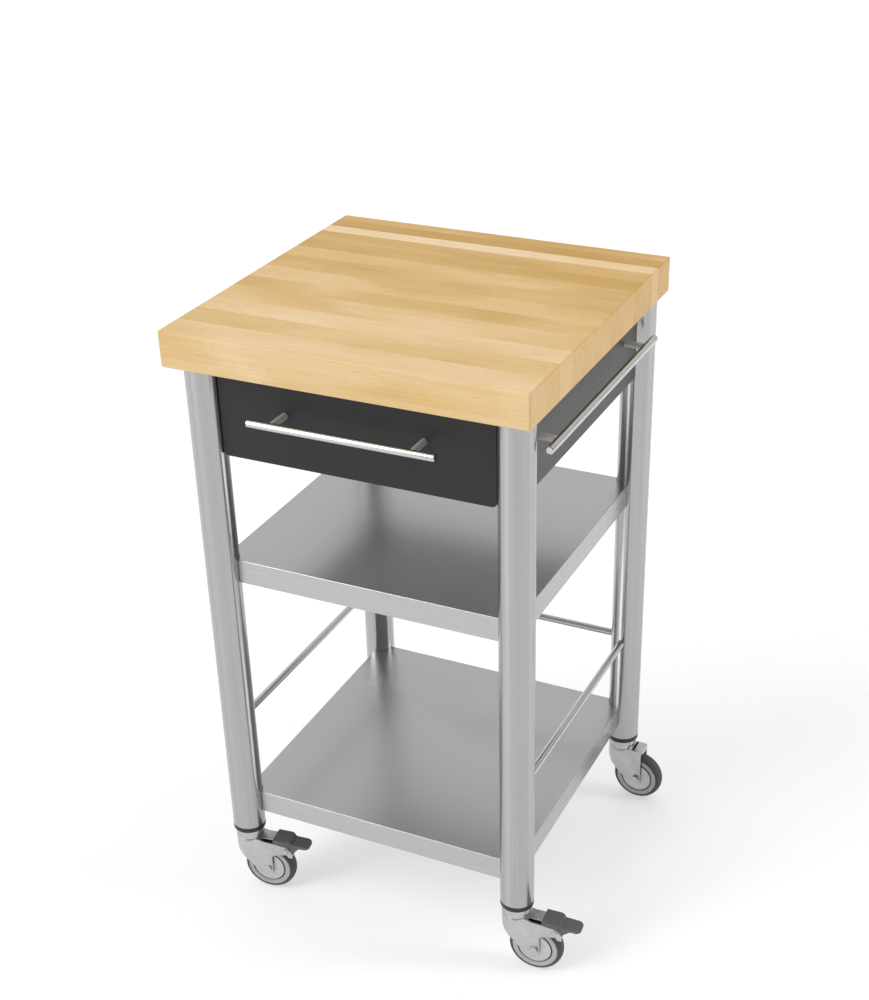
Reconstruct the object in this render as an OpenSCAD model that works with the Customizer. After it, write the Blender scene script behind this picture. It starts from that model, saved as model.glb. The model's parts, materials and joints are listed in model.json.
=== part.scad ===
// Kitchen island cart: a thick wooden block on four round steel legs, with a
// drawer, a towel bar, two steel shelves, three guard rails and four swivel
// casters, the front two with pedal brakes.
// Millimetres. +X right, +Y to the back, +Z up. The front faces -Y.
// Origin: on the floor, below the middle of the cart's overall plan.

/* [Worktop] */
// width of the wooden block, left to right
top_w = 512.6; // [400:0.1:700]
// depth of the wooden block, front to back
top_d = 507.2; // [400:0.1:700]
// thickness of the wooden block
top_t = 49.4; // [30:0.1:80]
// height of the worktop above the floor
top_h = 913.8; // [700:0.1:1000]
// radius of the block's upright corners
top_corner = 3; // [1:0.5:10]
// how far the block stands left of the legs' middle
top_left = 4.1; // [0:0.1:8]
// how far the block stands forward of the legs' middle
top_front = 1.9; // [0:0.1:8]

/* [Legs] */
// how far the block stands out past the legs at the sides, on average
overhang_x = 11.4; // [4.5:0.1:40]
// how far the block stands out past the legs front and back, on average
overhang_y = 8.7; // [2.5:0.1:40]
// outer diameter of the leg tubes
leg_d = 48.2; // [38:0.1:60]
// wall of the leg tubes
leg_wall = 1.5; // [1:0.1:3]

/* [Shelves] */
// height of the middle shelf's face
mid_shelf_h = 575.4; // [450:0.1:650]
// height of the lower shelf's face
low_shelf_h = 176.8; // [150:0.1:300]
// how far a shelf's lips stand inside the line of leg centres
shelf_inset = 1.5; // [0:0.1:6]
// height of the folded lips
shelf_lip = 35.4; // [20:0.1:50]
// width of the hem folded in under each lip
shelf_hem = 12; // [6:0.5:20]
// sheet thickness of the shelves
sheet_t = 1.5; // [1:0.1:3]

/* [Guard rails] */
// height of the guard rails' centre line
rail_h = 301.5; // [220:0.1:450]
// diameter of the guard rails
rail_d = 11; // [8:0.5:16]

/* [Drawer housing] */
// how far the housing's panels stand outside the line of leg centres
panel_out = 4.9; // [0:0.1:8]
// thickness of the housing's panels
panel_t = 16; // [10:1:18]
// height of the housing's panels below the block
housing_tall = 114.5; // [90:0.1:125]

/* [Drawer] */
// air between the drawer front and the leg tubes
front_gap = 0.5; // [0.4:0.1:6]
// how far the drawer front's face stands ahead of the leg centres
front_out = 5.5; // [0:0.1:10]
// thickness of the drawer front
front_t = 16; // [10:0.5:20]
// height of the drawer front
front_tall = 123.4; // [105:0.1:140]
// air between the drawer front and the block
front_air = 2; // [1:0.5:6]
// radius of the drawer front's corners
front_corner = 7; // [2:0.5:15]
// thickness of the drawer's sides and back
box_t = 12; // [8:1:16]
// thickness of the drawer's bottom
box_floor_t = 6; // [3:0.5:12]
// height of the drawer's sides
box_h = 90; // [60:1:100]
// how far the drawer's bottom stands above the front's lower edge
box_lift = 13; // [8:0.5:16]
// air between the drawer's back and the housing's back panel
box_rear_air = 40; // [10:1:80]
// how far below the block the runners' centre lies
runner_down = 74.4; // [60:0.1:80]
// height of the fixed runners
runner_h = 45; // [36:0.5:46]
// width of a closed set of runners
runner_t = 12.7; // [12:0.1:14]

/* [Handle and towel bar] */
// diameter of the handle bar
handle_d = 10.6; // [8:0.1:16]
// length of the handle bar
handle_len = 264; // [160:1:360]
// distance between the handle's posts
handle_pitch = 197.6; // [96:0.1:320]
// distance from the drawer's face to the bar's centre
handle_out = 37.1; // [25:0.1:50]
// how far below the block the handle lies
handle_down = 52.5; // [40:0.1:70]
// diameter of the towel bar
towel_d = 11; // [8:0.5:16]
// how far behind the front leg centres the towel bar starts
towel_start = 14.8; // [0:0.1:60]
// how far ahead of the rear leg centres the towel bar ends
towel_end = 38.8; // [0:0.1:60]
// distance from each end of the towel bar to its post
towel_tail = 34; // [20:0.5:60]
// distance from the side panel to the towel bar's centre
towel_out = 31; // [25:0.5:45]
// how far below the block the towel bar lies
towel_down = 45.1; // [30:0.1:60]
// diameter of the posts of both bars
post_d = 9; // [6:0.5:12]

/* [Casters] */
// diameter of the wheels over the tyre
wheel_d = 80.6; // [60:0.2:100]
// width of the tyre
tyre_w = 22; // [16:1:30]
// how far the axle trails behind the swivel
caster_trail = 30.1; // [20:0.1:40]
// gap between the tyre and the fork's crown
crown_air = 10.4; // [6:0.1:20]
// height of the swivel bearing between crown and collar
race_h = 16; // [12:0.5:24]
// height of the collar under each leg
collar_h = 7.5; // [4:0.5:12]
// angle of the front left caster
turn_front_left = 8.2; // [-180:0.1:180]
// angle of the front right caster
turn_front_right = 4.2; // [-180:0.1:180]
// angle of the rear left caster
turn_rear_left = 3; // [-180:0.1:180]
// angle of the rear right caster
turn_rear_right = -2.3; // [-180:0.1:180]

/* [Hidden] */
$fn = 96;
eps = 0.01;
// the casters and the towel bar reach further right than the block reaches
// left, so the legs' middle stands left of the origin
mid_x = -28.8;
mid_y = 8.5;
leg_r = leg_d / 2;
leg_bore = leg_r - leg_wall;
leg_x = top_w / 2 - overhang_x - leg_r;
leg_y = top_d / 2 - overhang_y - leg_r;
corners = [[-leg_x, -leg_y], [leg_x, -leg_y], [-leg_x, leg_y], [leg_x, leg_y]];
top_low = top_h - top_t;
// shelves
shelf_x = leg_x - shelf_inset;
shelf_y = leg_y - shelf_inset;
notch_r = leg_r + 0.3;
bracket_off = 0.2;
bracket_half = leg_r + bracket_off - sqrt(2) * (shelf_inset + sheet_t) - 0.5;
bracket_t = 3;
bracket_h = shelf_lip - 2 * sheet_t - 8;
bolt_drop = shelf_lip / 2;
bolt_r = 3;
bolt_clear = 0.1;
// leg tops
plug_t = 15;
plug_r = leg_bore - 0.1;
lag_r = 3;
lag_in = 30;
lag_head_r = 6;
lag_head = 5;
// housing
panel_x = leg_x + panel_out;
panel_in = panel_x - panel_t;
panel_y = leg_y + panel_out;
housing_low = top_low - housing_tall;
// drawer
front_half = leg_x - leg_r - front_gap;
front_face = -leg_y - front_out;
front_back = front_face + front_t;
front_low = top_low - front_air - front_tall;
runner_out = front_half - 0.5;
runner_in = runner_out - runner_t;
runner_z = top_low - runner_down;
box_back = panel_y - panel_t - box_rear_air;
box_d = box_back - front_back;
runner_l = box_d;
skin = 1.2;
nest = 0.5;
box_x = runner_in;
box_low = front_low + box_lift;
packer_h = 40;
packer_y = leg_y - leg_r - 6;
post_r = post_d / 2;
handle_z = top_low - handle_down;
towel_z = top_low - towel_down;
towel_from = -leg_y + towel_start;
towel_to = leg_y - towel_end;
towel_posts_y = [towel_from + towel_tail, towel_to - towel_tail];
screw_r = 2;
screw_clear = 0.1;
screw_head_r = 4;
screw_head = 2.4;
screw_in = 12;
// casters
wheel_r = wheel_d / 2;
rim_r = wheel_r - 6.8;
guard_r = rim_r - 9.3;
rim_bore = guard_r + 2.2;
rim_web = 3;
hub_r = 11;
tyre_half = tyre_w / 2;
hub_half = tyre_half - 2;
rim_half = tyre_half - 1;
guard_t = 1;
guard_at = tyre_half - 1.8;
fork_in = tyre_half + 1;
fork_t = 2.5;
fork_out = fork_in + fork_t;
crown_t = 3;
crown_top = wheel_d + crown_air + crown_t;
crown_r = 20;
race_low = crown_top + 7;
race_up = crown_top + race_h;
leg_foot = race_up + collar_h;
pin_r = 5;
axle_r = 4;
axle_head = 3.6;
axle_head_r = 6.4;
run = 0.05;
// the collars' plugs end below the shelves' bolts
plug_up = min(38, low_shelf_h - bolt_drop - 6 - leg_foot);
// a fork is a pressed hood: an ellipse around the swivel that runs into two
// flat cheeks
hood_x = 4;
hood_long = 26.6;
cheek_x = caster_trail + 7.7;
shoulder = 10;
slot_x = [20.5, 24.5];
bridge_drop = 10;
head_r = 9;
// the brake pins stand outside the tyre, up and behind the axle
ear_reach = wheel_r + 9;
ear_angle = 52.4;
ear_r = 7.1;
ear_air = 0.35;
ear_x = caster_trail + ear_reach * cos(ear_angle);
ear_z = wheel_r + ear_reach * sin(ear_angle);
brake_pin_r = 3;
lever_half = 10;
lever_t = 1.5;
lever_z = crown_top + 1 - lever_t - ear_z;
lever_back = ear_x - crown_r - 0.7;
pedal_back = 19;
pedal_top = lever_z + lever_t + 1.6;
pedal_half = fork_out - 0.2;
tread_half = fork_in - 0.25;
shoe_x = 6.64;
shoe_z = -14.18;

// ---- helpers ----

// moves its children to the legs' middle
module at_middle(z = 0) {
  translate([mid_x, mid_y, z]) children();
}

// the diagonal direction that leads from a leg to the inside of the cart
function inward(c) = atan2(-sign(c[1]), -sign(c[0]));

// a copy of its children at each leg, turned so that +X points inward
module at_legs(z = 0) {
  for (c = corners)
    translate([mid_x + c[0], mid_y + c[1], z])
      rotate([0, 0, inward(c)])
        children();
}

// a rectangle with round corners, centred
module round_rect(w, h, r) {
  square([w - 2 * r, h], center = true);
  square([w, h - 2 * r], center = true);
  for (x = [-1, 1], y = [-1, 1])
    translate([x * (w / 2 - r), y * (h / 2 - r)]) circle(r);
}

// a rod along X, centred
module rod_x(len, r) {
  rotate([0, 90, 0]) cylinder(h = len, r = r, center = true);
}

// a rod along Y, centred
module rod_y(len, r) {
  rotate([90, 0, 0]) cylinder(h = len, r = r, center = true);
}

// a plate drawn in the X-Z plane, centred on Y
module plate_xz(t) {
  rotate([90, 0, 0]) translate([0, 0, -t / 2]) linear_extrude(t) children();
}

// upright cylinders where the leg tubes stand
module leg_room(r) {
  for (c = corners)
    translate([c[0], c[1], 0]) cylinder(h = top_h, r = r);
}

// ---- worktop and legs ----

module worktop() {
  color([0.87, 0.71, 0.47])
  difference() {
    translate([mid_x - top_left, mid_y - top_front, top_low])
      linear_extrude(top_t) round_rect(top_w, top_d, top_corner);
    at_legs(top_low - eps) cylinder(h = lag_in + eps, r = lag_r + run);
  }
}

module leg(c) {
  color([0.72, 0.72, 0.73])
  difference() {
    translate([mid_x + c[0], mid_y + c[1], leg_foot])
      cylinder(h = top_low - leg_foot, r = leg_r);
    translate([mid_x + c[0], mid_y + c[1], leg_foot - eps])
      cylinder(h = top_low - leg_foot + 2 * eps, r = leg_bore);
    for (z = [mid_shelf_h, low_shelf_h])
      translate([mid_x + c[0], mid_y + c[1], z - bolt_drop])
        rotate([0, 0, inward(c)])
          translate([leg_r, 0, 0]) rod_x(4 * leg_wall, bolt_r + bolt_clear);
  }
}

module leg_plugs() {
  color([0.2, 0.2, 0.21])
  at_legs(top_low - plug_t)
    difference() {
      cylinder(h = plug_t, r = plug_r);
      translate([0, 0, -eps]) cylinder(h = plug_t + 2 * eps, r = lag_r + run);
    }
}

module worktop_screws() {
  color([0.7, 0.7, 0.7])
  at_legs(top_low - plug_t) {
    cylinder(h = plug_t + lag_in - 1, r = lag_r);
    translate([0, 0, -lag_head]) cylinder(h = lag_head, r = lag_head_r);
  }
}

// ---- shelves and rails ----

// an upside-down tray: face, four lips and the hems folded in below them
module shelf(h) {
  color([0.7, 0.7, 0.71])
  at_middle()
  difference() {
    translate([-shelf_x, -shelf_y, h - shelf_lip])
      cube([2 * shelf_x, 2 * shelf_y, shelf_lip]);
    translate([-shelf_x + sheet_t, -shelf_y + sheet_t, h - shelf_lip + sheet_t])
      cube([2 * (shelf_x - sheet_t), 2 * (shelf_y - sheet_t), shelf_lip - 2 * sheet_t]);
    translate([-shelf_x + shelf_hem, -shelf_y + shelf_hem, h - shelf_lip - eps])
      cube([2 * (shelf_x - shelf_hem), 2 * (shelf_y - shelf_hem), shelf_lip - sheet_t]);
    leg_room(notch_r);
  }
}

// angle plates that close the shelves' corners against the legs
module shelf_brackets() {
  color([0.6, 0.6, 0.61])
  for (z = [mid_shelf_h, low_shelf_h])
    at_legs(z - bolt_drop)
      difference() {
        translate([leg_r + bracket_off, -bracket_half, -bracket_h / 2])
          cube([bracket_t, 2 * bracket_half, bracket_h]);
        translate([leg_r, 0, 0]) rod_x(6 * bracket_t, bolt_r + bolt_clear);
      }
}

module shelf_bolts() {
  color([0.75, 0.75, 0.76])
  for (z = [mid_shelf_h, low_shelf_h])
    at_legs(z - bolt_drop) {
      translate([leg_r - 7, 0, 0])
        rotate([0, 90, 0]) cylinder(h = 7 + bracket_off + bracket_t + 1, r = bolt_r);
      translate([leg_r + bracket_off + bracket_t, 0, 0])
        rotate([0, 90, 0]) cylinder(h = 4, r = 5.5);
    }
}

module rail_side(x) {
  color([0.72, 0.72, 0.73])
  at_middle()
  difference() {
    translate([x, 0, rail_h]) rod_y(2 * leg_y, rail_d / 2);
    leg_room(leg_r);
  }
}

module rail_rear() {
  color([0.72, 0.72, 0.73])
  at_middle()
  difference() {
    translate([0, leg_y, rail_h]) rod_x(2 * leg_x, rail_d / 2);
    leg_room(leg_r);
  }
}

// ---- drawer housing ----

module housing_side(side) {
  color([0.33, 0.33, 0.34])
  at_middle()
  difference() {
    translate([side * (panel_x - panel_t / 2) - panel_t / 2, -leg_y, housing_low])
      cube([panel_t, 2 * leg_y, housing_tall]);
    leg_room(notch_r);
    if (side > 0)
      for (y = towel_posts_y)
        translate([panel_x, y, towel_z]) rod_x(3 * panel_t, screw_r + screw_clear);
  }
}

module housing_back() {
  color([0.33, 0.33, 0.34])
  at_middle()
  difference() {
    translate([-leg_x, panel_y - panel_t, housing_low])
      cube([2 * leg_x, panel_t, housing_tall]);
    leg_room(notch_r);
  }
}

module runner_packers() {
  color([0.5, 0.42, 0.32])
  at_middle(runner_z - packer_h / 2)
  for (side = [-1, 1])
    translate([side * (runner_out + panel_in) / 2 - (panel_in - runner_out) / 2, -packer_y, 0])
      cube([panel_in - runner_out, 2 * packer_y, packer_h]);
}

// a channel section along Y whose web stands at x_web and whose flanges
// reach to x_open
module channel(x_web, x_open, h, side) {
  far = max(x_web, x_open);
  near = min(x_web, x_open);
  inward = x_open < x_web ? -1 : 1;
  translate([0, front_back + 1, runner_z])
  scale_side(side)
  difference() {
    translate([near, 0, -h / 2]) cube([far - near, runner_l, h]);
    translate([near + inward * skin, -1, -h / 2 + skin])
      cube([far - near, runner_l + 2, h - 2 * skin]);
  }
}

// mirrors its children to the left side
module scale_side(side) {
  if (side > 0) children();
  else mirror([1, 0, 0]) children();
}

module runners_fixed() {
  color([0.7, 0.7, 0.72])
  at_middle()
  for (side = [-1, 1])
    channel(runner_out, runner_in + 1, runner_h, side);
}

module runners_middle() {
  color([0.75, 0.75, 0.77])
  at_middle()
  for (side = [-1, 1])
    channel(runner_out - skin - 2, runner_in + 2.2, runner_h - 2 * (skin + nest), side);
}

module runners_inner() {
  color([0.7, 0.7, 0.72])
  at_middle()
  for (side = [-1, 1])
    channel(runner_in, runner_out - 6, runner_h - 4 * (skin + nest), side);
}

// ---- drawer ----

module drawer_front() {
  color([0.25, 0.25, 0.26])
  at_middle()
  difference() {
    translate([0, front_face + front_t / 2, front_low + front_tall / 2])
      plate_xz(front_t)
        round_rect(2 * front_half, front_tall, front_corner);
    for (x = [-1, 1])
      translate([x * handle_pitch / 2, front_face, handle_z])
        rod_y(3 * front_t, screw_r + screw_clear);
  }
}

module drawer_bottom() {
  color([0.8, 0.7, 0.53])
  at_middle()
  translate([-box_x + box_t, front_back, box_low])
    cube([2 * (box_x - box_t), box_d, box_floor_t]);
}

module drawer_side(side) {
  color([0.8, 0.7, 0.53])
  at_middle()
  translate([side * (box_x - box_t / 2) - box_t / 2, front_back, box_low])
    cube([box_t, box_d, box_h]);
}

module drawer_back() {
  color([0.8, 0.7, 0.53])
  at_middle()
  translate([-box_x + box_t, box_back - box_t, box_low + box_floor_t])
    cube([2 * (box_x - box_t), box_t, box_h - box_floor_t]);
}

module handle_bar() {
  color([0.75, 0.75, 0.76])
  at_middle()
  handle_rod();
}

// the handle bar's rod, also the shape that its posts' ends are cut to
module handle_rod() {
  translate([0, front_face - handle_out, handle_z]) rod_x(handle_len, handle_d / 2);
}

module handle_posts() {
  color([0.72, 0.72, 0.73])
  at_middle()
  for (x = [-1, 1])
    difference() {
      translate([x * handle_pitch / 2, front_face - handle_out / 2, handle_z])
        rod_y(handle_out, post_r);
      handle_rod();
      translate([x * handle_pitch / 2, front_face, handle_z])
        rod_y(2 * screw_in, screw_r + run);
    }
}

module handle_screws() {
  color([0.7, 0.7, 0.7])
  at_middle()
  for (x = [-1, 1])
    translate([x * handle_pitch / 2, front_back, handle_z]) {
      translate([0, -(front_t + screw_in - 1) / 2, 0]) rod_y(front_t + screw_in - 1, screw_r);
      translate([0, screw_head / 2, 0]) rod_y(screw_head, screw_head_r);
    }
}

// ---- towel bar ----

module towel_bar() {
  color([0.75, 0.75, 0.76])
  at_middle()
  towel_rod();
}

// the towel bar's rod, also the shape that its posts' ends are cut to
module towel_rod() {
  translate([panel_x + towel_out, (towel_from + towel_to) / 2, towel_z])
    rod_y(towel_to - towel_from, towel_d / 2);
}

module towel_posts() {
  color([0.72, 0.72, 0.73])
  at_middle()
  for (y = towel_posts_y)
    difference() {
      translate([panel_x + towel_out / 2, y, towel_z]) rod_x(towel_out, post_r);
      towel_rod();
      translate([panel_x, y, towel_z]) rod_x(2 * screw_in, screw_r + run);
    }
}

module towel_screws() {
  color([0.7, 0.7, 0.7])
  at_middle()
  for (y = towel_posts_y)
    translate([panel_in, y, towel_z]) {
      translate([(panel_t + screw_in - 1) / 2, 0, 0]) rod_x(panel_t + screw_in - 1, screw_r);
      translate([-screw_head / 2, 0, 0]) rod_x(screw_head, screw_head_r);
    }
}

// ---- casters ----

// moves its children to a caster's swivel axis, with +X along its trail
module at_caster(c, turn) {
  translate([mid_x + c[0], mid_y + c[1], 0]) rotate([0, 0, turn]) children();
}

// collar under each leg, with the plug that fills the tube's end
module caster_collars() {
  color([0.08, 0.08, 0.08])
  at_legs()
  difference() {
    union() {
      translate([0, 0, race_up]) cylinder(h = collar_h, r = leg_r);
      translate([0, 0, leg_foot - eps]) cylinder(h = plug_up, r = leg_bore - 0.1);
    }
    translate([0, 0, race_up - eps])
      cylinder(h = collar_h + plug_up + 3, r = pin_r + run);
  }
}

// swivel pin with its upper race, and the head that carries the crown
module caster_stems() {
  color([0.72, 0.72, 0.73])
  at_legs() {
    translate([0, 0, crown_top - crown_t - 3.2])
      cylinder(h = leg_foot + plug_up - crown_top + crown_t, r = pin_r);
    translate([0, 0, crown_top - crown_t - 3.2]) cylinder(h = 3, r = head_r);
    translate([0, 0, race_low + 0.6]) cylinder(h = race_up - race_low - 0.6, r = crown_r + 1.5);
  }
}

// cuts the corners of a line of points, so that it bends gently
function eased(p) = concat(
  [p[0]],
  [for (i = [0:len(p) - 2]) each [0.75 * p[i] + 0.25 * p[i + 1], 0.25 * p[i] + 0.75 * p[i + 1]]],
  [p[len(p) - 1]]);

// plan of a fork's hood, inset by off
function hood_plan(off) = concat(
  [for (t = [90:7.5:270]) [hood_x + (hood_long - off) * cos(t), (fork_out - off) * sin(t)]],
  [[2 * ear_x, off - fork_out], [2 * ear_x, fork_out - off]]);

// side view of a fork: from the crown down around the axle, and on a braked
// fork out to the round ear that holds the brake pin
module fork_outline(braked) {
  a = caster_trail;
  w = wheel_r;
  c = crown_top;
  front = [[-23, c], [-23, c - 12], [-21.5, c - 22], [-18, c - 30], [-12, c - 36.5], [-3, w + 10],
    [6, w + 2], [a - 16, w - 7], [a - 10, w - 12], [a - 3, w - 14], [a + 3, w - 13],
    [cheek_x, w - 8]];
  back = braked
    ? concat([[cheek_x, ear_z - 17.5], [cheek_x + 1.3, ear_z - 13.8], [cheek_x + 4.7, ear_z - 12]],
        [for (t = [-80:10:80]) [ear_x + ear_r * cos(t), ear_z + ear_r * sin(t)]],
        [[a + 9, c - 4.5], [a - 3, c - 4], [a - 18, c]])
    : [[cheek_x, c]];
  polygon(concat(eased(front), back));
}

module fork_shape(braked) {
  difference() {
    union() {
      intersection() {
        linear_extrude(crown_top) polygon(hood_plan(0));
        plate_xz(3 * fork_out) fork_outline(braked);
      }
      // round shoulder below the lower race
      translate([0, 0, crown_top - shoulder])
        cylinder(h = shoulder, r1 = fork_in + 0.5, r2 = crown_r);
      translate([0, 0, crown_top - 0.5])
        cylinder(h = race_low - crown_top + 0.5, r = crown_r - 0.5);
    }
    // the hood's inside, open below and behind, with a crown left above it
    difference() {
      translate([0, 0, -1]) linear_extrude(crown_top - crown_t + 1) polygon(hood_plan(fork_t));
      translate([0, 0, crown_top - shoulder]) cylinder(h = shoulder, r1 = fork_in + 0.5, r2 = crown_r);
    }
    if (braked)
      translate([crown_r + 0.4, -fork_in, -1]) cube([3 * ear_x, 2 * fork_in, crown_top + 2]);
    else
      translate([slot_x[0], -fork_in, -1]) cube([slot_x[1] - slot_x[0], 2 * fork_in, crown_top + 2]);
    translate([0, 0, crown_top - shoulder - 1]) cylinder(h = shoulder + 1 - crown_t, r = head_r + 1);
    translate([0, 0, crown_top - crown_t - 1])
      cylinder(h = crown_t + race_h, r = pin_r + run);
    translate([caster_trail, 0, wheel_r]) rod_y(3 * fork_out, axle_r + run);
    if (braked)
      translate([ear_x, 0, ear_z]) rod_y(3 * fork_out, brake_pin_r + run);
  }
  // lip folded down at the end of an open fork's crown
  if (!braked)
    translate([cheek_x - fork_t, -fork_in - eps, crown_top - bridge_drop])
      cube([fork_t, 2 * fork_in + 2 * eps, bridge_drop - eps]);
}

module fork(c, turn, braked) {
  color([0.78, 0.78, 0.78])
  at_caster(c, turn) fork_shape(braked);
}

// discs that keep thread off the hub, one each side of the wheel
module guards(c, turn) {
  color([0.74, 0.74, 0.74])
  at_caster(c, turn)
  translate([caster_trail, 0, wheel_r])
  for (s = [-1, 1])
    difference() {
      union() {
        translate([0, s * (guard_at + guard_t / 2), 0]) rod_y(guard_t, guard_r);
        translate([0, s * (hub_half + 0.2 + fork_in) / 2, 0]) rod_y(fork_in - hub_half - 0.2, 9);
      }
      rod_y(3 * fork_out, axle_r + run);
    }
}

module axle(c, turn) {
  color([0.7, 0.7, 0.7])
  at_caster(c, turn)
  translate([caster_trail, 0, wheel_r]) {
    rod_y(2 * fork_out + axle_head, axle_r);
    for (s = [-1, 1])
      translate([0, s * (fork_out + axle_head / 2), 0])
        plate_xz(axle_head) circle(axle_head_r, $fn = 6);
  }
}

module wheel(c, turn) {
  color([0.66, 0.66, 0.66])
  at_caster(c, turn)
  translate([caster_trail, 0, wheel_r])
  rotate([90, 0, 0])
  rotate_extrude()
    polygon([
      [axle_r + run, -hub_half], [hub_r, -hub_half], [hub_r, -rim_web],
      [rim_bore, -rim_web], [rim_bore, -rim_half], [rim_r, -rim_half],
      [rim_r, rim_half], [rim_bore, rim_half], [rim_bore, rim_web],
      [hub_r, rim_web], [hub_r, hub_half], [axle_r + run, hub_half]
    ]);
}

module tyre(c, turn) {
  crown = [for (a = [-75:15:75]) [wheel_r - 6 + 6 * cos(a), (tyre_half - 6) * sin(a) / sin(75)
    + 6 * sin(a) * 0.9]];
  color([0.25, 0.25, 0.26])
  at_caster(c, turn)
  translate([caster_trail, 0, wheel_r])
  rotate([90, 0, 0])
  rotate_extrude()
    polygon(concat([[rim_r, -rim_half]], crown, [[rim_r, rim_half]]));
}

// ---- brakes ----

// the lever between a front fork's ears: plate, pin eye, cheeks and shoe
module brake_lever(c, turn) {
  color([0.7, 0.7, 0.71])
  at_caster(c, turn)
  translate([ear_x, 0, ear_z])
  difference() {
    union() {
      translate([-lever_back, -lever_half, lever_z])
        cube([lever_back + 4, 2 * lever_half, lever_t]);
      for (s = [-1, 1])
        translate([0, s * (lever_half - lever_t / 2), 0])
          plate_xz(lever_t)
            polygon([[-9, lever_z + 0.7], [-6.2, -3.7], [3.2, -15.7], [9.1, -16], [9.4, -10.5],
              [6, -0.3], [4, lever_z + 0.7]]);
      translate([shoe_x, 0, shoe_z]) rod_y(2 * lever_half - 1, 2);
      rod_y(2 * lever_half - 1, 5.5);
    }
    rod_y(4 * lever_half, brake_pin_r + run);
  }
}

// plastic cap on the lever: as wide as the fork where it rests above the ears,
// and narrower at its tread
module brake_pedal(c, turn) {
  color([0.3, 0.3, 0.31])
  at_caster(c, turn)
  translate([ear_x, 0, ear_z])
  difference() {
    intersection() {
      translate([0, 0, -10])
        linear_extrude(40)
          polygon([
            [-pedal_back, -pedal_half], [3, -pedal_half], [9, -tread_half], [31, -tread_half],
            [34.5, 2 - tread_half], [36.8, 5 - tread_half], [36.8, tread_half - 5],
            [34.5, tread_half - 2], [31, tread_half], [9, tread_half], [3, pedal_half],
            [-pedal_back, pedal_half]
          ]);
      plate_xz(40)
        polygon([[-pedal_back, pedal_top], [7, pedal_top - 0.5], [10.5, pedal_top - 4.8],
          [30, pedal_top - 6], [36.8, pedal_top - 6.6], [36.8, pedal_top - 10.8], [22, 6.4],
          [10, -2.8], [7.8, -2.8], [7.8, 3], [-pedal_back, 7.5]]);
    }
    // room for the fork's ears, and for the lever's plate and cheeks
    for (s = [-1, 1])
      translate([0, s * (fork_in + fork_t / 2), 0])
        plate_xz(fork_t + 0.5)
          polygon(concat([[-25, -12], [-25, 11.3]],
            [for (t = [90:-15:-90]) (ear_r + ear_air) * [cos(t), sin(t)]], [[0, -12]]));
    translate([-pedal_back - 1, -lever_half, -12])
      cube([pedal_back + 5, 2 * lever_half, lever_z + lever_t + 12]);
    translate([3, -lever_half, -12]) cube([3.2, 2 * lever_half, lever_z + lever_t + 12]);
    translate([3, -lever_half, -12]) cube([6.6, 2 * lever_half, 16]);
  }
}

module brake_pin(c, turn) {
  color([0.75, 0.75, 0.75])
  at_caster(c, turn)
  translate([ear_x, 0, ear_z]) {
    rod_y(2 * fork_out, brake_pin_r);
    for (s = [-1, 1])
      translate([0, s * (fork_out + 0.6), 0]) rod_y(1.2, brake_pin_r + 1.3);
  }
}

worktop();
leg(corners[0]);  // leg_front_left
leg(corners[1]);  // leg_front_right
leg(corners[2]);  // leg_rear_left
leg(corners[3]);  // leg_rear_right
leg_plugs();
worktop_screws();
shelf(mid_shelf_h);  // middle_shelf
shelf(low_shelf_h);  // lower_shelf
shelf_brackets();
shelf_bolts();
rail_side(-leg_x);  // rail_left
rail_side(leg_x);  // rail_right
rail_rear();
housing_side(-1);  // housing_left
housing_side(1);  // housing_right
housing_back();
runner_packers();
runners_fixed();
runners_middle();
runners_inner();
drawer_front();
drawer_bottom();
drawer_side(-1);  // drawer_left
drawer_side(1);  // drawer_right
drawer_back();
handle_bar();
handle_posts();
handle_screws();
towel_bar();
towel_posts();
towel_screws();
caster_collars();
caster_stems();
fork(corners[0], turn_front_left, true);  // fork_front_left
fork(corners[1], turn_front_right, true);  // fork_front_right
fork(corners[2], turn_rear_left, false);  // fork_rear_left
fork(corners[3], turn_rear_right, false);  // fork_rear_right
guards(corners[0], turn_front_left);  // guards_front_left
guards(corners[1], turn_front_right);  // guards_front_right
guards(corners[2], turn_rear_left);  // guards_rear_left
guards(corners[3], turn_rear_right);  // guards_rear_right
axle(corners[0], turn_front_left);  // axle_front_left
axle(corners[1], turn_front_right);  // axle_front_right
axle(corners[2], turn_rear_left);  // axle_rear_left
axle(corners[3], turn_rear_right);  // axle_rear_right
wheel(corners[0], turn_front_left);  // wheel_front_left
wheel(corners[1], turn_front_right);  // wheel_front_right
wheel(corners[2], turn_rear_left);  // wheel_rear_left
wheel(corners[3], turn_rear_right);  // wheel_rear_right
tyre(corners[0], turn_front_left);  // tyre_front_left
tyre(corners[1], turn_front_right);  // tyre_front_right
tyre(corners[2], turn_rear_left);  // tyre_rear_left
tyre(corners[3], turn_rear_right);  // tyre_rear_right
brake_lever(corners[0], turn_front_left);  // brake_lever_left
brake_lever(corners[1], turn_front_right);  // brake_lever_right
brake_pedal(corners[0], turn_front_left);  // brake_pedal_left
brake_pedal(corners[1], turn_front_right);  // brake_pedal_right
brake_pin(corners[0], turn_front_left);  // brake_pin_left
brake_pin(corners[1], turn_front_right);  // brake_pin_right
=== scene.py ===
# %% [markdown]
# # A kitchen island cart
# The cart is a thick block of beech on four steel tubes, with a drawer, two folded steel shelves and four
# casters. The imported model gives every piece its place, its size and the body it moves with. This file gives
# each piece its finish: softened edges, brushed steel, wood grain, rubber and plastic.

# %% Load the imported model
import json
from math import cos, pi, radians, sin

import bmesh
import bpy
from mathutils import Matrix, Vector


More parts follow.
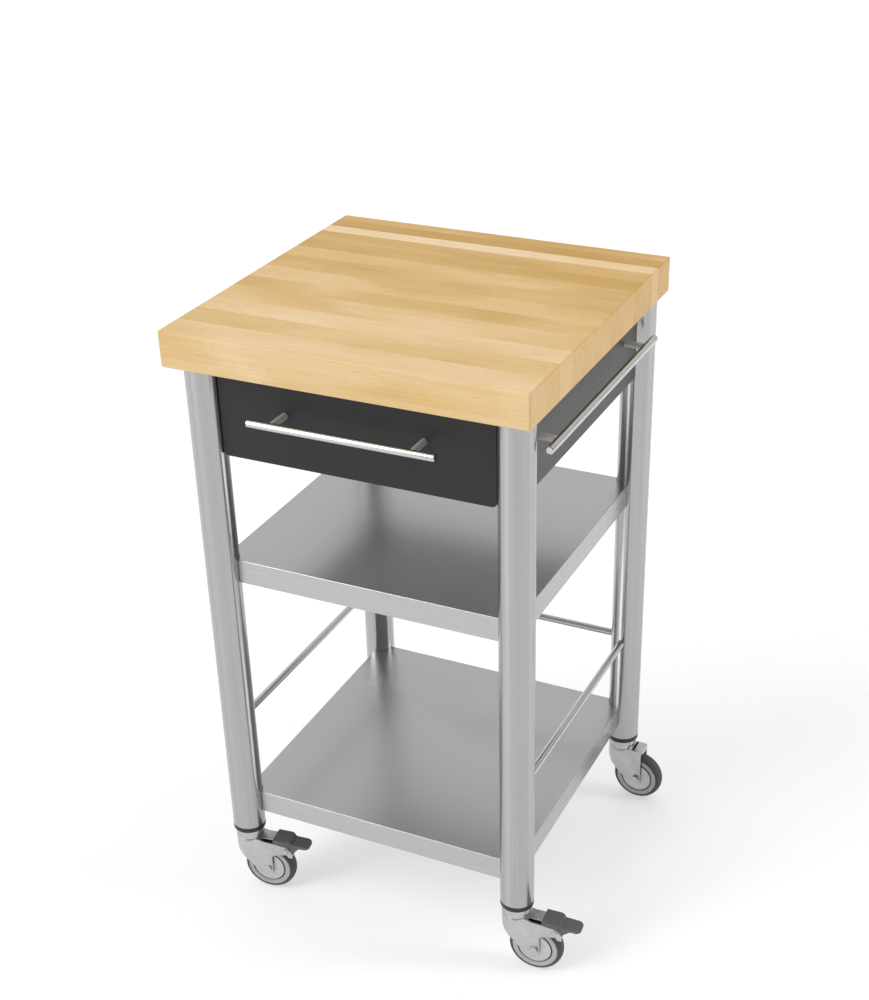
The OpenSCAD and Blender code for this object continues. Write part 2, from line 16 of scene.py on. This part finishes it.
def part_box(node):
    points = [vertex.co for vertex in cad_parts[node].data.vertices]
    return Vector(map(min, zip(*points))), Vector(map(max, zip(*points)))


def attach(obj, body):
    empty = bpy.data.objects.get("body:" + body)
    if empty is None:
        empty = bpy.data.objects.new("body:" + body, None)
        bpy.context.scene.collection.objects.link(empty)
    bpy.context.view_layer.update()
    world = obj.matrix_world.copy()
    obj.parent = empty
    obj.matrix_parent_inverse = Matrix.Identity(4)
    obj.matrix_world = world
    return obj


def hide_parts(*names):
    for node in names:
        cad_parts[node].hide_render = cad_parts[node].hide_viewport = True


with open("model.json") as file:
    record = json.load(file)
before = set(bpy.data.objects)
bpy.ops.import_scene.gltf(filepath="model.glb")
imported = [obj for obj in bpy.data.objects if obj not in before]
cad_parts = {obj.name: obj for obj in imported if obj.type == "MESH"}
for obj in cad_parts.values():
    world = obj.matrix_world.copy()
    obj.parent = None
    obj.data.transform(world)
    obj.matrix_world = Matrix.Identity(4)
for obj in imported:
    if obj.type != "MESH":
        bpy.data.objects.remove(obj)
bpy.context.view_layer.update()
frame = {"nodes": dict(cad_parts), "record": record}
nodes = frame["nodes"]
bodies = frame["record"]["behaviour"]["bodies"]
body_of = {node: body for body, members in bodies.items() for node in members}
slot_of = {s["node"]: s["material_slot"] for s in frame["record"]["subparts"]}

# %% [markdown]
# ## The camera
# The camera stands in front of the cart, to its right and well above the worktop, and rolls by a degree.
# Its place is written as a point and an aim (azimuth, elevation and roll), because each of those numbers
# has a plain meaning. The lens is a short telephoto, which keeps the legs nearly parallel.

# %% The camera
AZIMUTH, ELEVATION, ROLL = radians(25.52), radians(30.486), radians(-1.283)
STAND_POINT = Vector((0.88623, -1.84744, 1.67578))


def camera_turn(azimuth, elevation, roll):
    """Rotation of a camera that looks back along azimuth and elevation, rolled about its own aim."""
    back = Vector((sin(azimuth) * cos(elevation), -cos(azimuth) * cos(elevation), sin(elevation)))
    right = Vector((cos(azimuth), sin(azimuth), 0))
    up = back.cross(right)
    turned_right = right * cos(roll) + up * sin(roll)
    turned_up = up * cos(roll) - right * sin(roll)
    return Matrix((turned_right, turned_up, back)).transposed()


lens = bpy.data.cameras.new("camera")
lens.sensor_width = 36
lens.lens = 58.78
lens.shift_x = -0.0208
lens.shift_y = 0.0872
lens.clip_end = 200
camera = bpy.data.objects.new("camera", lens)
camera.location = STAND_POINT
camera.rotation_euler = camera_turn(AZIMUTH, ELEVATION, ROLL).to_euler()
bpy.context.scene.collection.objects.link(camera)
bpy.context.scene.camera = camera
print("lens", round(lens.lens, 1), "mm, camera", round(STAND_POINT.length, 2), "m from the origin")

# %% [markdown]
# ## A small kit for finishes
# Every finish below is a handful of shader nodes. These helpers add a node, set its inputs and join it to
# the next, so that a finish reads as a short recipe. Colours are written as linear light, not as screen
# values.

# %% A small kit for finishes


def add_node(tree, kind, inputs=None, **settings):
    """Adds a shader node; an input is a value, or another node's output to link from."""
    node = tree.nodes.new(kind)
    for key, value in settings.items():
        setattr(node, key, value)
    for key, value in (inputs or {}).items():
        if hasattr(value, "is_output"):
            tree.links.new(value, node.inputs[key])
        else:
            node.inputs[key].default_value = value
    return node


class Recipe:
    """A material being built: adds nodes, joins them, and ends in one Principled shader."""

    def __init__(self, name, color, roughness=0.5, metallic=0.0):
        self.material = bpy.data.materials.new(name)
        self.material.use_nodes = True
        self.tree = self.material.node_tree
        self.shader = self.tree.nodes["Principled BSDF"]
        self.shader.inputs["Base Color"].default_value = (*color, 1)
        self.shader.inputs["Roughness"].default_value = roughness
        self.shader.inputs["Metallic"].default_value = metallic
        self.place = self.add("ShaderNodeTexCoord").outputs["Object"]

    def add(self, kind, inputs=None, **settings):
        return add_node(self.tree, kind, inputs, **settings)

    def noise(self, scale, detail=3.0, start=None, twist=0.0):
        """Noise with its own fineness along each axis: a small number makes it run long that way."""
        where = self.add("ShaderNodeMapping", {"Vector": start or self.place, "Scale": scale}).outputs[0]
        inputs = {"Vector": where, "Scale": 1.0, "Detail": detail, "Distortion": twist}
        return self.add("ShaderNodeTexNoise", inputs).outputs["Fac"]

    def between(self, value, low, high, to_low=0.0, to_high=1.0):
        inputs = {0: value, 1: low, 2: high, 3: to_low, 4: to_high}
        return self.add("ShaderNodeMapRange", inputs).outputs[0]

    def combine(self, a, b, operation="ADD"):
        return self.add("ShaderNodeMath", {0: a, 1: b}, operation=operation).outputs[0]

    def mix(self, amount, a, b):
        inputs = {"Factor": amount, 6: a, 7: b}
        return self.add("ShaderNodeMix", inputs, data_type="RGBA").outputs[2]

    def use(self, **sockets):
        """Joins outputs to the shader's sockets: Base_Color stands for Base Color."""
        for key, value in sockets.items():
            self.tree.links.new(value, self.shader.inputs[key.replace("_", " ")])
        return self

    def dent(self, height, depth, strength=1.0):
        """A bump of this depth, in metres."""
        inputs = {"Height": height, "Distance": depth, "Strength": strength}
        self.use(Normal=self.add("ShaderNodeBump", inputs).outputs[0])
        return self


def grey(level):
    return (level, level, level)


print("finish kit ready")

# %% [markdown]
# ## Steel
# Tubes, sheets and bars are all stainless, brushed in different directions. A brushed surface is many fine
# parallel scratches. They are drawn as noise stretched far along the brushing, which changes the roughness
# and the colour a little, and dents the surface by a few thousandths of a millimetre. The tubes are ground
# round, so their reflections smear up and down: that is what the anisotropic setting does.

# %% Steel
# how many scratches, and broader bands, a metre holds across the brushing and along it
SCRATCHES, SCRATCHES_ALONG = 800.0, 3.0
BANDS, BANDS_ALONG = 90.0, 0.4


def brushed(name, level, roughness, along, hairline=0.03, band=0.06, depth=0.000003,
            ground_round=0.0, metallic=1.0):
    """Brushed steel whose scratches run along one axis of the cart: 0 for X, 1 for Y, 2 for Z.

    None leaves a flat sheet even and grains only its folded lips, level all round. ground_round stretches
    the reflections up and down an upright tube, as grinding round it does.
    """
    steel = Recipe(name, grey(level), roughness, metallic)
    fine, broad = [SCRATCHES] * 3, [BANDS] * 3
    for axis in ((0, 1) if along is None else (along,)):
        fine[axis], broad[axis] = SCRATCHES_ALONG, BANDS_ALONG
    scratches = steel.noise(fine, detail=1.0)
    bands = steel.noise(broad, detail=1.0)
    uneven = steel.combine(steel.between(scratches, 0.3, 0.7, -hairline, hairline),
                       steel.between(bands, 0.3, 0.7, -band, band))
    dark, light = (grey(level * k) + (1,) for k in (0.8, 1.2))
    steel.use(Base_Color=steel.mix(steel.between(uneven, -0.2, 0.2), dark, light))
    steel.use(Roughness=steel.between(bands, 0.3, 0.7, roughness * 0.9, roughness * 1.1))
    steel.shader.inputs["Anisotropic"].default_value = ground_round
    steel.shader.inputs["Anisotropic Rotation"].default_value = 0.25
    steel.dent(scratches, depth, 0.4)
    return steel.material


finish = {
    "leg_steel": brushed("leg_steel", 0.42, 0.2, along=2, band=0.06, ground_round=0.9),
    "shelf_steel": brushed("shelf_steel", 0.47, 0.27, along=None, hairline=0.02, band=0.01, depth=0.000001),
    "rail_x_steel": brushed("rail_x_steel", 0.55, 0.15, along=0),
    "rail_y_steel": brushed("rail_y_steel", 0.55, 0.15, along=1),
    # the posts' steel is paler and partly diffuse: painted light, so that the posts look lit where a mirror
    # finish would show the dark drawer front
    "post_steel": brushed("post_steel", 0.8, 0.4, along=1, metallic=0.6),
    "runner_steel": brushed("runner_steel", 0.55, 0.3, along=1),
}
print("steels:", ", ".join(finish))

# %% [markdown]
# ## Zinc
# The casters' pressed parts are zinc plated: brighter and whiter than stainless, slightly cloudy, and a
# little blue. Clouds of two sizes in the roughness give that look.

# %% Zinc


def zinc_plate():
    zinc = Recipe("zinc", grey(0.5), 0.3, metallic=1.0)
    clouds = zinc.noise([90.0] * 3, detail=4.0)
    patches = zinc.noise([25.0] * 3, detail=2.0)
    both = zinc.combine(clouds, patches)
    zinc.use(Roughness=zinc.between(both, 0.6, 1.4, 0.22, 0.42))
    dull, bright = (0.42, 0.425, 0.43, 1), (0.56, 0.565, 0.57, 1)
    zinc.use(Base_Color=zinc.mix(zinc.between(both, 0.6, 1.4), dull, bright))
    return zinc.dent(clouds, 0.00004, 0.3).material


finish["zinc"] = zinc_plate()
print("zinc plate ready")

# %% [markdown]
# ## The block's wood
# The block is glued up from full-length staves of beech. Each stave has a tone of its own, so the tones are
# a colour ramp with hard steps across the block. Inside a stave the grain is noise stretched along X, moved
# sideways by a random step for each stave, so that no line of grain crosses a glue joint. The pattern is
# solid: the same noise cut square by the block's ends gives end grain, which is darker. Short dark flecks
# are typical of beech.

# %% The block's wood
# how far across the block each stave starts, front to back, and how light it is
STAVES = (
    (0.0, 0.80), (0.09, 0.66), (0.18, 0.84), (0.265, 0.72), (0.36, 0.58), (0.44, 0.68), (0.53, 0.50),
    (0.62, 0.56), (0.70, 0.38), (0.775, 0.46), (0.845, 0.92), (0.895, 0.22), (0.95, 0.40),
)


def block_wood(low, high):
    wood = Recipe("block_wood", (0.7, 0.5, 0.25), 0.42)
    parts = wood.add("ShaderNodeSeparateXYZ", {0: wood.place}).outputs
    across = wood.between(parts["Y"], low.y, high.y)
    steps = wood.add("ShaderNodeValToRGB", {0: across})
    steps.color_ramp.interpolation = "CONSTANT"
    stops = steps.color_ramp.elements
    while len(stops) < len(STAVES):
        stops.new(1.0)
    for stop, (start, tone) in zip(stops, STAVES):
        stop.position = start
        stop.color = (tone, tone, tone, 1)
    tone = steps.outputs["Color"]

    shuffle = wood.add("ShaderNodeTexWhiteNoise", {"W": tone}, noise_dimensions="1D").outputs["Color"]
    moved = wood.add("ShaderNodeVectorMath", {0: wood.place, 1: shuffle}, operation="ADD").outputs[0]
    figure = wood.noise([4.5, 15.0, 15.0], detail=4.0, start=moved, twist=0.6)
    lines = wood.noise([9.0, 420.0, 420.0], detail=3.0, start=moved, twist=0.3)
    fleck = wood.between(wood.noise([75.0, 800.0, 800.0], detail=1.0, start=moved), 0.64, 0.72)

    warmth = wood.combine(wood.between(figure, 0.3, 0.7, -0.17, 0.17),
                          wood.between(lines, 0.3, 0.7, -0.08, 0.08))
    shade = wood.between(wood.combine(tone, warmth), 0.0, 1.0)
    ramp = wood.add("ShaderNodeValToRGB", {0: shade})
    ramp.color_ramp.elements[0].color = (0.43, 0.23, 0.03, 1)
    ramp.color_ramp.elements[1].color = (0.74, 0.55, 0.32, 1)
    for position, color in ((0.35, (0.51, 0.295, 0.055, 1)), (0.7, (0.65, 0.435, 0.18, 1))):
        ramp.color_ramp.elements.new(position).color = color
    flecked = wood.mix(wood.combine(fleck, 0.3, "MULTIPLY"), ramp.outputs["Color"], (0.34, 0.18, 0.05, 1))

    side = wood.add("ShaderNodeNewGeometry").outputs["Normal"]
    facing = wood.add("ShaderNodeSeparateXYZ", {0: side}).outputs["X"]
    end = wood.between(wood.combine(facing, facing, "MULTIPLY"), 0.4, 0.6)
    rings = wood.noise([6.0, 520.0, 130.0], detail=3.0, start=moved, twist=1.2)
    darker = wood.mix(wood.between(rings, 0.3, 0.7), (0.53, 0.29, 0.075, 1), (0.72, 0.46, 0.17, 1))
    wood.use(Base_Color=wood.mix(wood.combine(end, 0.65, "MULTIPLY"), flecked, darker))
    wood.use(Roughness=wood.between(lines, 0.3, 0.7, 0.36, 0.5))
    return wood.dent(wood.combine(lines, fleck, "SUBTRACT"), 0.00006, 0.5).material


BLOCK_LOW, BLOCK_HIGH = (Vector(corner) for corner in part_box("worktop"))
finish["beech"] = block_wood(BLOCK_LOW, BLOCK_HIGH)
print(len(STAVES), "staves over", round((BLOCK_HIGH - BLOCK_LOW).y * 1000), "mm")

# %% [markdown]
# ## Paint, plastic and rubber
# Matt paint has a fine orange peel, moulded plastic a fine spark-eroded grain, and rubber a dusty unevenness.
# One recipe serves all three with different numbers. The runners' packers are plain wood: a quiet relation
# of the block's grain.

# %% Paint, plastic and rubber


def moulded(name, color, roughness, grain, depth, specular=0.5):
    """A plain coloured surface with a fine bump and slightly uneven gloss."""
    skin = Recipe(name, color, roughness)
    bumps = skin.noise([grain] * 3, detail=2.0)
    clouds = skin.noise([14.0] * 3, detail=3.0)
    darker = [c * 0.88 for c in color] + [1]
    lighter = [c * 1.12 for c in color] + [1]
    skin.use(Base_Color=skin.mix(skin.between(clouds, 0.3, 0.7), darker, lighter))
    skin.use(Roughness=skin.between(clouds, 0.3, 0.7, roughness * 0.9, roughness * 1.1))
    skin.shader.inputs["Specular IOR Level"].default_value = specular
    return skin.dent(bumps, depth, 0.5).material


def plain_wood(name, dark, light):
    """Wood whose grain runs from front to back."""
    wood = Recipe(name, light, 0.55)
    grain = wood.noise([160.0, 4.0, 160.0], detail=4.0, twist=0.4)
    wood.use(Base_Color=wood.mix(wood.between(grain, 0.3, 0.7), (*dark, 1), (*light, 1)))
    return wood.dent(grain, 0.0001, 0.4).material


finish["front_grey"] = moulded("front_grey", grey(0.018), 0.4, 900.0, 0.00002, specular=0.3)
finish["panel_grey"] = moulded("panel_grey", grey(0.065), 0.45, 900.0, 0.00002, specular=0.3)
finish["collar_black"] = moulded("collar_black", grey(0.012), 0.45, 1200.0, 0.00003)
finish["pedal_grey"] = moulded("pedal_grey", grey(0.085), 0.5, 1400.0, 0.00005)
finish["rim_grey"] = moulded("rim_grey", grey(0.36), 0.45, 1200.0, 0.00003)
finish["tyre_rubber"] = moulded("tyre_rubber", grey(0.05), 0.62, 700.0, 0.00006)
finish["drawer_board"] = moulded("drawer_board", grey(0.42), 0.5, 600.0, 0.00003)
finish["packer_wood"] = plain_wood("packer_wood", (0.3, 0.21, 0.12), (0.42, 0.31, 0.18))
print(len(finish), "finishes")

# %% [markdown]
# ## Softened edges
# No real edge is a perfect corner: a sawn panel is eased, a pressed plate is rounded by its tool, and that
# thin rounded line is what catches the light. Most pieces already have the right shape, so a copy of the
# mesh is cleaned (doubles merged, flat faces joined) and its sharp edges are bevelled. The bevel keeps
# inside the old faces, so the piece keeps its size.

# %% Softened edges


def stand_in(bm, name, node, limit=35, material=None):
    """Puts a finished shape in place of a node, on its body and with its slot, shaded smooth below limit."""
    for face in bm.faces:
        face.smooth = True
    for edge in bm.edges:
        edge.smooth = len(edge.link_faces) == 2 and edge.calc_face_angle() < radians(limit)
    mesh = bpy.data.meshes.new(name)
    bm.to_mesh(mesh)
    bm.free()
    piece = bpy.data.objects.new(name, mesh)
    bpy.context.scene.collection.objects.link(piece)
    mesh.materials.append(material or finish[slot_of[node]])
    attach(piece, body_of[node])
    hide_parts(node)
    piece.modifiers.new("flat faces stay flat", "WEIGHTED_NORMAL").keep_sharp = True
    return piece


def cleaned(node):
    """A bmesh copy of a node's mesh: doubles merged and flat triangles joined."""
    bm = bmesh.new()
    bm.from_mesh(nodes[node].data)
    bmesh.ops.remove_doubles(bm, verts=bm.verts, dist=1e-6)
    bmesh.ops.dissolve_limit(bm, angle_limit=radians(0.5), verts=bm.verts, edges=bm.edges)
    return bm


def soften(node, width, segments=2, limit=32, material=None):
    """Replaces a node with a copy whose sharp edges are rounded by width, in millimetres."""
    bm = cleaned(node)
    sharp = [e for e in bm.edges if len(e.link_faces) == 2 and e.calc_face_angle() > radians(limit)]
    if width > 0:
        bmesh.ops.bevel(bm, geom=sharp, offset=width / 1000, segments=segments, profile=0.5,
                        affect="EDGES", material=-1, clamp_overlap=True)
    return stand_in(bm, node + "_finished", node, limit, material)


print("softening kit ready")

# %% [markdown]
# ## The block
# The block is a plain slab whose edges are eased with a round of nearly 2 mm, and whose upright corners are
# rounded a little more. It starts from a cube, scaled to the block's box: the upright edges are bevelled
# first, then the rest.

# %% The block
UPRIGHT_ROUND, EDGE_ROUND = 0.003, 0.0018


def slab(low, high):
    """A cube stretched to fill a box."""
    bm = bmesh.new()
    bmesh.ops.create_cube(bm, size=1)
    bmesh.ops.scale(bm, vec=high - low, verts=bm.verts)
    bmesh.ops.translate(bm, vec=(low + high) / 2, verts=bm.verts)
    return bm


def is_upright(edge):
    return abs((edge.verts[0].co - edge.verts[1].co).normalized().z) > 0.9


def worktop_block():
    bm = slab(BLOCK_LOW, BLOCK_HIGH)
    upright = [e for e in bm.edges if is_upright(e)]
    bmesh.ops.bevel(bm, geom=upright, offset=UPRIGHT_ROUND, segments=4, profile=0.5,
                    affect="EDGES", material=-1)
    rims = [e for e in bm.edges if e.calc_face_angle() > radians(60)]
    bmesh.ops.bevel(bm, geom=rims, offset=EDGE_ROUND, segments=4, profile=0.5,
                    affect="EDGES", material=-1)
    return stand_in(bm, "worktop_block", "worktop", limit=40)


block = worktop_block()
print("block", [round(v * 1000, 1) for v in block.dimensions], "mm")

# %% [markdown]
# ## Round stock
# Legs, rails and bars are turned or drawn round stock. A short profile, spun about its own axis, gives each
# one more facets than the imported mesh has, and a chamfer at each end. Spinning from a profile is the lathe's
# way, and it is why the chamfer costs nothing extra.

# %% Round stock


def lathe(profile, center, axis, steps=96):
    """Spins (radius, place along the axis) points about an axis through center; one wall, both ends."""
    bm = bmesh.new()
    turn = Vector((0, 0, 1)).rotation_difference(axis).to_matrix().to_4x4()
    points = [bm.verts.new((radius, 0, along)) for radius, along in profile]
    edges = [bm.edges.new(pair) for pair in zip(points, points[1:])]
    bmesh.ops.spin(bm, geom=points + edges, cent=(0, 0, 0), axis=(0, 0, 1), angle=2 * pi,
                   steps=steps, use_merge=True)
    bmesh.ops.remove_doubles(bm, verts=bm.verts, dist=1e-6)
    bmesh.ops.recalc_face_normals(bm, faces=bm.faces)
    bmesh.ops.transform(bm, matrix=Matrix.Translation(center) @ turn, verts=bm.verts)
    return bm


def tube_profile(radius, wall, half, ease=0.0006):
    inner = radius - wall
    return [
        (inner, -half), (radius - ease, -half), (radius, -half + ease), (radius, half - ease),
        (radius - ease, half), (inner, half), (inner, -half),
    ]


def bar_profile(radius, half, chamfer=0.0011, groove_at=0.0085, groove=0.0005):
    """Half of the bar's outline, from the middle of an end to the middle of its length, and its mirror."""
    end = [(0, half), (radius - chamfer, half), (radius, half - chamfer), (radius, half - groove_at),
           (radius - groove, half - groove_at - groove), (radius, half - groove_at - 2 * groove)]
    return end + [(r, -along) for r, along in reversed(end)]


def middle_and_size(node):
    low, high = (Vector(corner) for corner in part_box(node))
    return (low + high) / 2, high - low


PLACES = ("front_left", "front_right", "rear_left", "rear_right")
LEG_WALL = 0.0015
for place in PLACES:
    node = "leg_" + place
    center, size = middle_and_size(node)
    bm = lathe(tube_profile(size.x / 2, LEG_WALL, size.z / 2), center, Vector((0, 0, 1)), 128)
    stand_in(bm, node + "_tube", node)
for node, along in (("handle_bar", 0), ("towel_bar", 1)):
    center, size = middle_and_size(node)
    axis = Vector([float(i == along) for i in range(3)])
    bm = lathe(bar_profile(size.z / 2, size[along] / 2), center, axis)
    stand_in(bm, node + "_rod", node, material=finish["rail_x_steel" if along == 0 else "rail_y_steel"])
print("four tubes and two bars turned")

# %% [markdown]
# ## Rails and posts
# The rails' and posts' ends are coped, cut to the round of the tube they meet, so they keep their own
# shapes. They only get the brushed finish of the direction they run in. The posts' steel is paler and less
# metallic than the bars': painted light, which makes them look lit.

# %% Rails and posts
for node in ("rail_left", "rail_right", "rail_rear", "handle_posts", "towel_posts"):
    steel = finish["post_steel" if node.endswith("posts") else
                   "rail_x_steel" if node == "rail_rear" else "rail_y_steel"]
    soften(node, 0, material=steel)
print("rails and posts finished")

# %% [markdown]
# ## Folded shelves
# Each shelf is one sheet folded down on four sides. A press brake leaves a round of about the sheet's own
# thickness on the outside of a fold, and this round gives the bright line along the shelf's edge.

# %% Folded shelves
FOLD_ROUND = 1.4
for node in ("middle_shelf", "lower_shelf"):
    soften(node, FOLD_ROUND, segments=3, limit=50)
for node in ("shelf_brackets", "shelf_bolts", "leg_plugs", "worktop_screws"):
    soften(node, 0.3)
print("shelves folded")

# %% [markdown]
# ## Drawer and housing
# The panels are painted boards with lightly eased edges. The drawer's box is coated board.

# %% Drawer and housing
for node in ("drawer_front", "housing_left", "housing_right", "housing_back"):
    soften(node, 0.8, segments=3)
for node in ("drawer_bottom", "drawer_left", "drawer_right", "drawer_back", "runner_packers"):
    soften(node, 0.5)
for node in ("runners_fixed", "runners_middle", "runners_inner", "handle_screws", "towel_screws"):
    soften(node, 0.2, segments=1)
print("drawer and housing finished")

# %% [markdown]
# ## Casters
# A caster's fork is a hood pressed from thick sheet, so all its edges are rounded. Thin discs beside the
# hub, the thread guards, keep threads and hair off the axle. The pedal is moulded and has softer edges
# still. The tyre is turned, and round already.

# %% Casters
for place in PLACES:
    soften("fork_" + place, 0.5)
    soften("guards_" + place, 0.25)
    soften("axle_" + place, 0.5)
    soften("wheel_" + place, 0.4)
    soften("tyre_" + place, 0)
for side in ("left", "right"):
    soften("brake_lever_" + side, 0.25)
    soften("brake_pedal_" + side, 0.7, segments=3)
    soften("brake_pin_" + side, 0.3)
soften("caster_collars", 0.5)
soften("caster_stems", 0.5)
print(len(PLACES), "casters finished")

# %% [markdown]
# ## Floor and light
# A plain pale floor and a broad soft light from the front left. The light is a sun with a wide angle, so
# the floor is evenly lit as far as it goes and the shadow's edge is soft. Steel looks like steel only when
# it has something to reflect, so the room is a little dim and holds upright soft boxes to the left and right
# of the camera: they draw the bright lines down the legs.

# %% Floor and light


def pale_floor():
    bm = bmesh.new()
    bmesh.ops.create_grid(bm, x_segments=1, y_segments=1, size=40)
    mesh = bpy.data.meshes.new("floor")
    bm.to_mesh(mesh)
    bm.free()
    floor = bpy.data.objects.new("floor", mesh)
    bpy.context.scene.collection.objects.link(floor)
    paper = Recipe("floor", grey(0.5), 0.7)
    paper.shader.inputs["Emission Color"].default_value = (1, 1, 1, 1)
    paper.shader.inputs["Emission Strength"].default_value = 0.5
    mesh.materials.append(paper.material)
    return floor


def sun(name, direction, strength, angle):
    light = bpy.data.lights.new(name, "SUN")
    light.energy = strength
    light.angle = radians(angle)
    lamp = bpy.data.objects.new(name, light)
    lamp.rotation_euler = Vector(direction).to_track_quat("Z", "Y").to_euler()
    bpy.context.scene.collection.objects.link(lamp)


def sky(strength, dim, boxes):
    """A dim room with upright soft boxes: where each stands, how wide it is and how bright."""
    world = bpy.data.worlds.new("studio")
    bpy.context.scene.world = world
    world.use_nodes = True
    tree = world.node_tree

    def add(kind, inputs=None, **settings):
        return add_node(tree, kind, inputs, **settings).outputs

    where = add("ShaderNodeTexCoord")["Generated"]
    flat = add("ShaderNodeVectorMath", {0: where, 1: (1, 1, 0)}, operation="MULTIPLY")[0]
    around = add("ShaderNodeVectorMath", {0: flat}, operation="NORMALIZE")[0]
    light = dim
    for azimuth, width, brightness in boxes:
        toward = (sin(radians(azimuth)), -cos(radians(azimuth)), 0)
        facing = add("ShaderNodeVectorMath", {0: around, 1: toward}, operation="DOT_PRODUCT")["Value"]
        edges = {0: facing, 1: cos(radians(width)), 2: cos(radians(width * 0.5)), 3: 0.0, 4: brightness}
        glow = add("ShaderNodeMapRange", edges, interpolation_type="SMOOTHSTEP")[0]
        light = add("ShaderNodeMath", {0: light, 1: glow}, operation="ADD")[0]
    back = tree.nodes["Background"]
    tree.links.new(light, back.inputs["Color"])
    back.inputs["Strength"].default_value = strength


pale_floor()
sky(0.9, 0.4, ((-37, 12, 4.4), (110, 10, 5.2), (-150, 80, 0.55)))
sun("window", (-0.6, -0.6, 0.8), 1.0, 40)
bpy.context.scene.view_settings.view_transform = "Standard"
print("floor and light ready")
